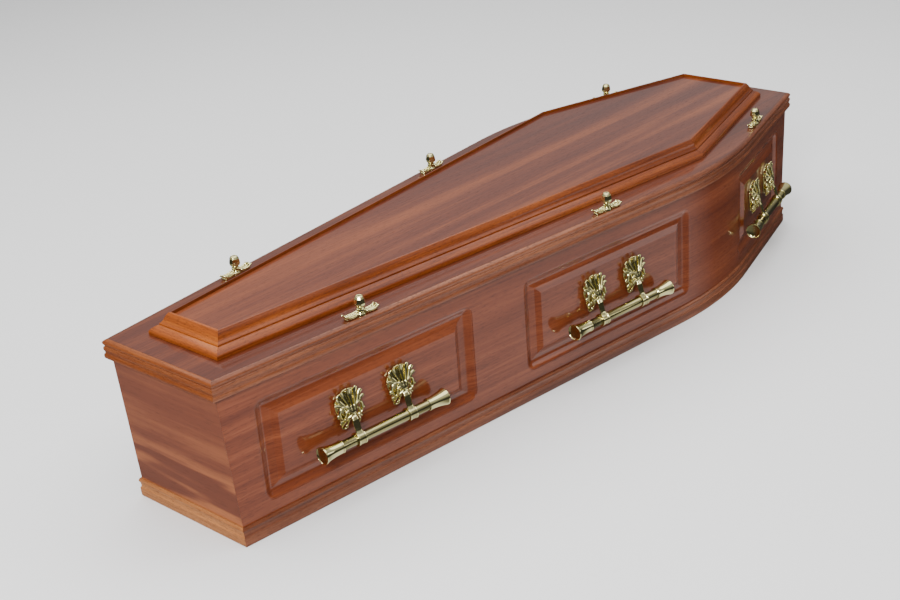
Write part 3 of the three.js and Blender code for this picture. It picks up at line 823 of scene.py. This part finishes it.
leaf = placed(cast("leaf", parts, LEAF_VOXEL, 3), Matrix.Translation((0, 0, BOSS_HEIGHT)))
collar_profile = [(-COLLAR_HALF, COLLAR_BORE), (-COLLAR_HALF, 0.0128),
                  (-COLLAR_HALF + 0.0006, COLLAR_RADIUS), (-COLLAR_HALF + 0.0030, COLLAR_RADIUS),
                  (-COLLAR_HALF + 0.0038, 0.0131)]
collar_profile += [(-s, r) for s, r in reversed(collar_profile)]
collar = draw("collar", [Vector((s, -BAR_OUT, BAR_HEIGHT + r)) for s, r in collar_profile])
bpy.ops.mesh.spin(steps=TURNED_STEPS, angle=2 * pi, center=(0, -BAR_OUT, BAR_HEIGHT),
                  axis=(1, 0, 0))
finish_mesh(collar, 40)
plate = join("leaf_plate", [leaf, collar])
print("leaf plate", len(plate.data.polygons), "faces", [round(c, 4) for c in plate.dimensions])

# %% [markdown]
# Six handles go on, each with one bar and two plates. One matrix on the panel's centre places
# each of them, and the far side takes a half turn.

# %% Hang the handles
PLATE_SPACING = 0.127
for hand, side in SIDES:
    for word, (run, centre, length) in panels.items():
        place = on_side(run, centre, hand)
        name = f"handle_{side}_{word}"
        belongs(copy_of(bar, name + "_bar_turned", place), "brass", name + "_bar")
        for step, letter in ((-1, "a"), (1, "b")):
            shift = Matrix.Translation((step * PLATE_SPACING / 2, 0, 0))
            piece = copy_of(plate, f"{name}_leaf_{letter}", place @ shift)
            belongs(piece, "brass", f"{name}_plate_{letter}")
bpy.data.objects.remove(bar)
bpy.data.objects.remove(plate)
print("pieces so far", len(made))

# %% [markdown]
# A lid screw has a long leafy base, a fluted stem and an eight-sided bud. The base is carved the
# same way as the plates, with ridges on a low back, and then turned to lie on the lid.

# %% Carve the base of a lid screw
ARM_HEIGHT = 1.35
BASE_VOXEL = 0.66


def base_rise(x, _):
    """The low back of the base, high in the middle and turned up at its ends"""
    return 2.2 + 3 * max(0, 1 - (abs(x) / 16) ** 1.5) + 2.2 * max(0, (abs(x) - 26) / 12) ** 2


RIM = [(4, 2.2, 1.6, 1.5, 1.6), (11, 5.2, 1, 1.6, 1.6), (19, 7.2, 0.8, 1.7, 1.6),
       (28, 7.6, 0.9, 1.7, 1.6), (34, 7, 1.2, 1.8, 1.7), (37.2, 3.6, 1.7, 1.8, 1.8),
       (37.8, 0, 2, 1.9, 1.9)]
VEIN = [(4, 0, 2, 1.5, 1.6), (14, 0, 0.8, 1.2, 1.2), (28, 0, 0.4, 1.1, 1.1), (36, 0, 1, 1.4, 1.4)]
TEETH = [[(x, 4.6, 0.6, 1.5, 1.4), (x + 1.6, 7.4, 0.4, 1.8, 1.5), (x + 2.4, 8.9, -0.6, 1, 1)]
         for x in (9.5, 15.5, 21.5, 27.5)]
END_TOOTH = [(33.5, 5.4, 1, 1.7, 1.6), (37, 7.6, 1.6, 1.7, 1.7), (38.6, 8.6, 2, 0.9, 0.9)]
HOLLOW = [[(x, 0, 0.3, 0.7, 0.9), (x + 2.6, 2.6, 0.5, 0.8, 1), (x + 4.4, 5.4, 0.7, 0.8, 1)]
          for x in (10, 16.5, 23)]
parts = []
for turned in (1, -1):
    for path in [RIM] + TEETH + [END_TOOTH] + HOLLOW:
        for hand in (1, -1):
            parts.append(ridge(flipped(smooth_path(path), turned, hand), base_rise))
    parts.append(ridge(flipped(smooth_path(VEIN), turned, 1), base_rise))
BASE_OUTLINE = [(3, 4.5), (10, 6.4), (18, 7.8), (28, 8.0), (35, 7.0), (37.4, 3.4)]
loop = BASE_OUTLINE + [(x, -y) for x, y in reversed(BASE_OUTLINE)]
loop += [(-x, -y) for x, y in BASE_OUTLINE] + [(-x, y) for x, y in reversed(BASE_OUTLINE)]
back_plate = draw("base_back", [mm(x, -0.4, y) for x, y in loop])
bpy.ops.mesh.edge_face_add()
extrude(mm(0, -1.7, 0))
extrude(mm(0, -0.9, 0))
bpy.ops.transform.resize(value=(0.96, 1, 0.8), center_override=(0, 0, 0))
clear()
parts.append(back_plate)
base_leaf = cast("base_leaf", parts, BASE_VOXEL, 2)
placed(base_leaf, Matrix.Scale(ARM_HEIGHT, 4, Z) @ Matrix.Rotation(-pi / 2, 4, "X"))
print("base of a lid screw", len(base_leaf.data.polygons), "faces")

# %% [markdown]
# The stem is turned like the bars, with eight small ridges round it. The bud is what a hand
# turns. It is a cylinder that is extruded and scaled ring by ring, each a share of its height and
# radius. Its sides rise in long facets from a low belly and catch the light one by one.

# %% Turn the stem and shape the bud
SCREW_NECK = 0.0145
STEM_STEPS = 10
FLUTES = 8
KNOB_SIDES = 8
KNOB_RADIUS = 0.0122
KNOB_HEIGHT = 0.0245
BUD = [(0.06, 0.60), (0.22, 0.93), (0.38, 1), (0.74, 0.84), (0.90, 0.64), (0.94, 0.56)]

stem_profile = [(0.0006, 0), (0.0006, 0.0104), (0.0026, 0.0103), (0.0044, 0.0096)]
for i in range(1, STEM_STEPS + 1):
    t = i / STEM_STEPS
    stem_profile.append((0.0044 + t * 0.0072, 0.0064 + 0.0032 * (1 - t) ** 1.8))
stem_profile += [(0.0122, 0.0080), (0.0132, 0.0080), (SCREW_NECK, 0.0064), (SCREW_NECK, 0)]
parts = [base_leaf, lathe("stem", stem_profile, Z)]
for a in circle(FLUTES):
    flute = ridge([(0, 2.8 + k, 0, 2 - 0.12 * k, 1.3) for k in range(9)],
                  lambda x, z: 6.6 + 4 * max(0, 1 - z / 9.5) ** 1.8)
    parts.append(placed(flute, Matrix.Rotation(pi / FLUTES + a, 4, "Z")))
screw_base = join("screw_base", parts)

clear()
bpy.ops.mesh.primitive_cylinder_add(vertices=KNOB_SIDES, radius=KNOB_RADIUS * 0.58, depth=0.002,
                                    location=(0, 0, SCREW_NECK + 0.0013), rotation=(0, 0, pi / 8))
knob = name_it("screw_knob")
bpy.ops.object.transform_apply(location=True, rotation=True, scale=True)
edit(knob, "FACE")
choose(knob, lambda c, n: n.z > 0.9, "FACE")
for (h0, r0), (h1, r1) in zip(BUD, BUD[1:]):
    extrude(Vector((0, 0, (h1 - h0) * KNOB_HEIGHT)))
    bpy.ops.transform.resize(value=(r1 / r0, r1 / r0, 1), center_override=(0, 0, 0))
bpy.ops.mesh.inset(thickness=0.0014, depth=-0.0007)
bpy.ops.mesh.inset(thickness=0.0010, depth=0.0010)
clear()
modify(knob, "BEVEL", width=0.35 * MM, segments=2, limit_method="ANGLE", angle_limit=radians(20))
finish_mesh(knob, 12)
print("lid screw", len(screw_base.data.polygons), len(knob.data.polygons), "faces")

# %% [markdown]
# Three screws stand on each side of the lid, over the middle of the side board that they hold.

# %% Set the lid screws
FOOT_SCREW = 0.338
MIDDLE_SCREW = 1.012
HEAD_SCREW = 0.260
half = BODY_LENGTH / 2
SCREWS = {"foot": (foot_run, foot_corner, FOOT_SCREW - half),
          "middle": (foot_run, foot_corner, MIDDLE_SCREW - half),
          "head": (head_run, head_corner, half - HEAD_SCREW)}
for hand, side in SIDES:
    for word, (run, anchor, x) in SCREWS.items():
        start = anchor + inward(run) * WALL / 2
        place = on_side(run, start + run * ((x - start.x) / run.x) + Z * LID_TOP, hand)
        name = f"lid_screw_{side}_{word}"
        belongs(copy_of(screw_base, name + "_leaf_base", place), "brass", name + "_base")
        belongs(copy_of(knob, name + "_bud", place), "brass", name + "_knob")
bpy.data.objects.remove(screw_base)
bpy.data.objects.remove(knob)
print("pieces", len(made))

# %% [markdown]
# Shader maths reads best as plain expressions. A small class wraps a socket, and its operators
# add the Math nodes. Any other node comes from one method.

# %% Shader helpers
class Wire:
    """An output socket that can be used in an expression"""

    def __init__(self, graph, socket):
        self.graph = graph
        self.socket = socket

    def maths(self, operation, a, b):
        return self.graph.node("ShaderNodeMath", {"operation": operation}, {0: a, 1: b})

    def __add__(self, other):
        return self.maths("ADD", self, other)

    __radd__ = __add__

    def __mul__(self, other):
        return self.maths("MULTIPLY", self, other)

    __rmul__ = __mul__

    def __sub__(self, other):
        return self.maths("SUBTRACT", self, other)

    def __rsub__(self, other):
        return self.maths("SUBTRACT", other, self)

    def larger(self, other):
        return self.maths("MAXIMUM", self, other)


class Graph:
    """A node tree of a material or of the world"""

    def __init__(self, tree):
        self.tree = tree

    def node(self, kind, settings=None, inputs=None, output=0):
        made_node = self.tree.nodes.new(kind)
        for key, value in (settings or {}).items():
            if key == "stops":
                ramp = made_node.color_ramp
                while len(ramp.elements) < len(value):
                    ramp.elements.new(1)
                for element, (place, colour) in zip(ramp.elements, value):
                    element.position = place
                    element.color = (*colour, 1)
            else:
                setattr(made_node, key, value)
        for key, value in (inputs or {}).items():
            if isinstance(value, Wire):
                self.tree.links.new(value.socket, made_node.inputs[key])
            else:
                made_node.inputs[key].default_value = value
        return Wire(self, made_node.outputs[output])

    def fade(self, value, start, finish, low, high):
        """A soft step of a value between two places"""
        return self.node("ShaderNodeMapRange", {"interpolation_type": "SMOOTHSTEP"}, {
            "Value": value, "From Min": start, "From Max": finish, "To Min": low, "To Max": high})

# %% [markdown]
# A material's patterns are noises on Object coordinates, so they run on from piece to piece.

# %% Finish helpers
class Finish(Graph):
    """A material whose Principled shader is fed by wires and plain values"""

    def __init__(self, name, **constants):
        self.material = bpy.data.materials.new(name)
        self.material.use_nodes = True
        super().__init__(self.material.node_tree)
        self.shader = self.tree.nodes["Principled BSDF"]
        for key, value in constants.items():
            self.shader.inputs[key.replace("_", " ")].default_value = value
        self.object = self.node("ShaderNodeTexCoord", output="Object")

    def feed(self, key, wire):
        self.tree.links.new(wire.socket, self.shader.inputs[key])

    def noise(self, scale, detail=2, roughness=0.5, stretch=(1, 1, 1), distortion=0,
              shift=(0, 0, 0)):
        """Noise on Object coordinates, finer along an axis the larger its stretch"""
        place = self.node("ShaderNodeMapping", {"vector_type": "POINT"},
                          {"Vector": self.object, "Scale": stretch, "Location": shift})
        return self.node("ShaderNodeTexNoise", {"noise_dimensions": "3D"},
                         {"Vector": place, "Scale": scale, "Detail": detail,
                          "Roughness": roughness, "Distortion": distortion})

    def axis(self, name):
        return self.node("ShaderNodeSeparateXYZ", inputs={0: self.object}, output=name)

    def bump(self, strength, distance, height):
        self.feed("Normal", self.node("ShaderNodeBump", inputs={
            "Strength": strength, "Distance": distance, "Height": height}))

    def ramp(self, wire, stops):
        return self.node("ShaderNodeValToRGB", {"stops": stops}, {"Fac": wire})

    def blend(self, factor, a, b):
        """A mix of two colours, each a wire or three linear values"""
        a, b = (c if isinstance(c, Wire) else (*c, 1) for c in (a, b))
        return self.node("ShaderNodeMix", {"data_type": "RGBA"}, {0: factor, 6: a, 7: b}, 2)


def linear(red, green, blue):
    """A display colour of 0 to 255 as the linear values that a shader takes"""
    return tuple((c / 255) ** 2.2 for c in (red, green, blue))

# %% [markdown]
# The boards wear a reddish veneer under gloss lacquer. Long soft ribbons run with its grain, with
# finer lines between them and short dark pores, and a slow figure makes light and dark drift.
# Each is a noise that is stretched along the grain. The lid also has broad streaks, stronger
# towards the head, and the foot end has waves low down. The lacquer is a clear coat with its own
# low roughness, so it stays sharp over the wood.

# %% Veneer under lacquer
GRAIN = {"along": (0.03, 1, 1), "board": (0.03, 0.03, 1), "across": (1, 0.03, 1)}
RIBBON_SHARE = 0.62
LINE_SHARE = 0.38
TONE_STOPS = (0.32, 0.5, 0.68)
PORE_DARKNESS = 0.35
WOOD_ROUGHNESS = 0.34


def wood(name, colours, grain, turn=0, ribbon=26, figure=0.35, pores=0.3, gloss=1, shift=0,
         streaks=0, waves=0, calm=1):
    """A lacquered veneer of three colours, with its grain along, across or swung by a turn"""
    finish = Finish(name, Coat_Weight=gloss, Coat_Roughness=0.04, Coat_IOR=1.38,
                    Specular_IOR_Level=0.15)
    if turn:
        finish.object = finish.node("ShaderNodeMapping", {"vector_type": "POINT"},
                                    {"Vector": finish.object, "Rotation": (0, 0, -turn)})
    along = GRAIN[grain]
    short = tuple(max(0.12, 3.2 * a) if a < 0.5 else a for a in along)
    slow = tuple(0.35 if a < 0.5 else a for a in along)
    move = (shift, shift * 1.7, shift * 0.6)
    ribbons = finish.noise(ribbon, 3, 0.55, along, 0.2, move)
    lines = finish.noise(ribbon * 6, 3, 0.6, along, 0.1, move)
    dashes = finish.noise(ribbon * 16, 2, 0.6, short, 0, move)
    drift = finish.noise(5, 2, 0.5, slow, 0.5, move)
    tone = (ribbons * RIBBON_SHARE + lines * LINE_SHARE - 0.5) * calm + 0.5
    tone = tone + (drift - 0.5) * figure
    if streaks:
        broad = finish.noise(11, 1, 0.5, (0.06, 1, 1), 0.3, (0.4, 0.9, 0))
        near_head = finish.fade(finish.axis("X"), -0.3, 0.8, 0.6, 1.5)
        tone = tone + (finish.fade(broad, 0.36, 0.64, 0, 1) - 0.4) * near_head * streaks
    if waves:
        swell = finish.noise(30, 1, 0.4, (1, 0.1, 1), 0.5, (0, 0.3, 0.2))
        low_part = finish.fade(finish.axis("Z"), 0.19, 0.1, 0, 1)
        tone = tone + low_part * (finish.fade(swell, 0.38, 0.62, -0.35, 1) * waves)
    shades = [linear(*colour) for colour in colours]
    pore = finish.fade(dashes, 0.52, 0.68, 0, pores)
    finish.feed("Base Color", finish.blend(pore, finish.ramp(tone, list(zip(TONE_STOPS, shades))),
                                           tuple(c * PORE_DARKNESS for c in shades[0])))
    finish.feed("Roughness", WOOD_ROUGHNESS + pore * 0.3)
    finish.bump(0.05, 0.0004, 1 - pore)
    return finish.material

# %% [markdown]
# Veneers and mouldings are cut from different stock, so each has colours of its own. The grain of
# a moulding runs along its length, so the lengths of the frame each get a wood turned their way.

# %% Woods
side_wood = wood("side_veneer", ((84, 38, 21), (104, 51, 29), (128, 68, 41)), "board",
                 ribbon=32, figure=0.2, pores=0.34)
end_wood = wood("end_veneer", ((92, 47, 31), (106, 56, 37), (160, 96, 58)), "across",
                ribbon=18, figure=0.08, pores=0.16, waves=0.2, calm=0.35)
lid_wood = wood("lid_veneer", ((78, 34, 20), (95, 45, 26), (128, 68, 38)), "along",
                ribbon=30, figure=0.1, streaks=0.2, calm=0.75)
border_wood = wood("lid_border_veneer", ((70, 31, 17), (86, 40, 22), (112, 58, 33)), "along",
                   ribbon=30, figure=0.1, streaks=0.08)
MOULDED = {"ribbon": 50, "pores": 0.5, "gloss": 0.45}
RAIL = ((76, 33, 13), (110, 53, 21), (140, 74, 32))
FOOT_TURN = math.atan2(foot_run.y, foot_run.x)
HEAD_TURN = math.atan2(head_run.y, head_run.x)
rail_woods = {}
for part, turn, shift in (("_left_long", FOOT_TURN, 0.7), ("_left_short", HEAD_TURN, 1.1),
                          ("_right_long", -FOOT_TURN, 1.9), ("_right_short", -HEAD_TURN, 2.3)):
    rail_woods[part] = wood("frame_wood" + part, RAIL, "along", turn, shift=shift, **MOULDED)
edge_wood = wood("edge_moulding_wood", ((80, 42, 27), (108, 62, 41), (136, 84, 58)), "board",
                 shift=0.3, **MOULDED)
cross_woods = {}
for part, name, colours, shift in (
        ("lid_rim", "rim", ((86, 41, 18), (114, 59, 27), (138, 78, 38)), 1.3),
        ("plinth", "plinth", ((116, 66, 36), (146, 90, 52), (172, 114, 70)), 2.6),
        ("lid_frame", "frame", ((108, 52, 18), (142, 72, 26), (168, 94, 38)), 1.6)):
    cross_woods[part] = wood(name + "_wood_crosswise", colours, "across", shift=shift, **MOULDED)
inner_wood = wood("plain_board", ((132, 92, 58), (160, 118, 78), (180, 140, 96)), "along",
                  gloss=0)
print("woods", len(bpy.data.materials))

# %% [markdown]
# The fittings are plated in pale polished brass. It mirrors the room, so its roughness is low and
# only slightly uneven. In the hollows of the carving, which the pointiness of the surface tells,
# shade is painted into the colour as a dark olive, and the plating is made duller there.

# %% Brass finish
# Painted shade: the dark olive that is laid into the hollows of the carving.
HOLLOW_SHADE_COLOUR = linear(70, 58, 22)
PLATING = (linear(212, 202, 138), linear(232, 224, 166))


def brass_finish():
    finish = Finish("pale_brass", Metallic=1)
    cloud = finish.noise(60, 3, 0.6)
    pointed = finish.node("ShaderNodeNewGeometry", output="Pointiness")
    # Painted shade: the hollows of the carving are darkened in the colour, and made duller.
    shaded_hollow = finish.fade(pointed, 0.5, 0.44, 0, 0.85)
    finish.feed("Base Color", finish.blend(shaded_hollow, finish.blend(cloud, *PLATING), HOLLOW_SHADE_COLOUR))
    finish.feed("Roughness", 0.05 + cloud * 0.08 + shaded_hollow * 0.2)
    finish.bump(0.06, 0.0003, finish.noise(300, 2, 0.5))
    return finish.material


brass = brass_finish()
print("brass", len(brass.node_tree.nodes), "nodes")

# %% [markdown]
# A new piece takes the finish of its slot, unless it is a crosswise moulding or a length of the
# frame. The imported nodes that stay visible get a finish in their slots.

# %% Give every piece its finish
finish_of = {"side_wood": side_wood, "lid_wood": border_wood, "brass": brass,
             "moulding_wood": edge_wood}
for piece, slot in made:
    material = finish_of[slot]
    for part, wooden in cross_woods.items():
        if piece.name.startswith((part + "_foot", part + "_head")):
            material = wooden
    for part, wooden in rail_woods.items():
        if part in piece.name:
            material = wooden
    piece.data.materials.clear()
    piece.data.materials.append(material)
for node, material in (("base_board", inner_wood), ("foot_end", end_wood), ("head_end", end_wood),
                       ("lid_panel", lid_wood)):
    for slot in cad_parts[node].material_slots:
        slot.material = material
print("finished", len(made), "new pieces")

# %% [markdown]
# The coffin stands on a plain pale floor. The floor is kept out of the reflections, because a
# white floor all round would lay a grey veil over the dark wood.

# %% Floor
clear()
bpy.ops.mesh.primitive_plane_add(size=40, location=(0, 0, -0.0005))
floor = name_it("floor")
bpy.ops.object.transform_apply()
paper = bpy.data.materials.new("floor_paper")
paper.use_nodes = True
paper_shader = paper.node_tree.nodes["Principled BSDF"]
paper_shader.inputs["Base Color"].default_value = (0.9, 0.9, 0.9, 1)
paper_shader.inputs["Roughness"].default_value = 0.9
paper_shader.inputs["Specular IOR Level"].default_value = 0.1
floor.data.materials.append(paper)
floor.visible_glossy = False
print("floor", [round(c, 2) for c in floor.dimensions])

# %% [markdown]
# Gloss lacquer and brass show what is around them. The room is dark at eye level and brighter
# above, behind and steeply below, where paper would lie, and so gives them dark bands between
# clean highlights. The camera itself sees a pale backdrop.

# %% Room
WALL_LEVEL = 0.05
OVERHEAD_LEVEL = 0.68
BEHIND_LEVEL = 0.4
PAPER_LEVEL = 1.16
BACKDROP_LEVEL = 0.9
world = bpy.data.worlds.new("studio")
world.use_nodes = True
room = Graph(world.node_tree)
bpy.context.scene.world = world
direction = room.node("ShaderNodeTexCoord", output="Generated")
along, towards, up = (room.node("ShaderNodeSeparateXYZ", inputs={0: direction}, output=axis)
                      for axis in "XYZ")
overhead = room.fade(up, 0.05, 0.7, WALL_LEVEL, OVERHEAD_LEVEL)
behind = room.fade(towards, -0.3, 0.4, 0, BEHIND_LEVEL) * room.fade(up, -0.05, 0.1, 0, 1)
below = room.fade(up, -0.16, -0.38, 0, PAPER_LEVEL)
foot_side = room.fade(along, 0.1, 0.45, 0.2, 1)
paper_seen = below * room.fade(along, 0.87, 0.56, 0, 1)
paper_seen = paper_seen * foot_side.larger(room.fade(towards, -0.2, 0.2, 0, 0.5))
paper_seen = paper_seen * room.fade(towards, 0, 0.7, 1, 0.5)
strength = overhead.larger(behind).larger(paper_seen)
seen = room.node("ShaderNodeLightPath", output="Is Camera Ray")
strength = strength + seen * (BACKDROP_LEVEL - strength)
background = world.node_tree.nodes["Background"]
world.node_tree.links.new(strength.socket, background.inputs["Strength"])
background.inputs["Color"].default_value = (1, 1, 1, 1)
print("room", len(world.node_tree.nodes), "nodes")

# %% [markdown]
# A large softbox hangs overhead, a small one at the foot is the key light, and a faint one at the
# head lights the side beyond the shoulder.

# %% Lamps
LOOKED_AT = Vector((0, 0, 0.2))


def softbox(name, place, size, power):
    clear()
    bpy.ops.object.light_add(type="AREA", location=place)
    lamp = bpy.context.object
    lamp.name = name
    lamp.data.shape = "RECTANGLE"
    lamp.data.size, lamp.data.size_y = size
    lamp.data.energy = power
    lamp.rotation_euler = (LOOKED_AT - Vector(place)).to_track_quat("-Z", "Y").to_euler()


softbox("overhead_light", (0, 0.2, 3.4), (6.0, 6.0), 240)
softbox("key_light", (-3.4, -1.9, 2.4), (0.9, 0.9), 150)
softbox("head_light", (2.8, -3.0, 1.2), (1.8, 0.7), 9)
print("lamps", [light.name for light in bpy.data.lights])
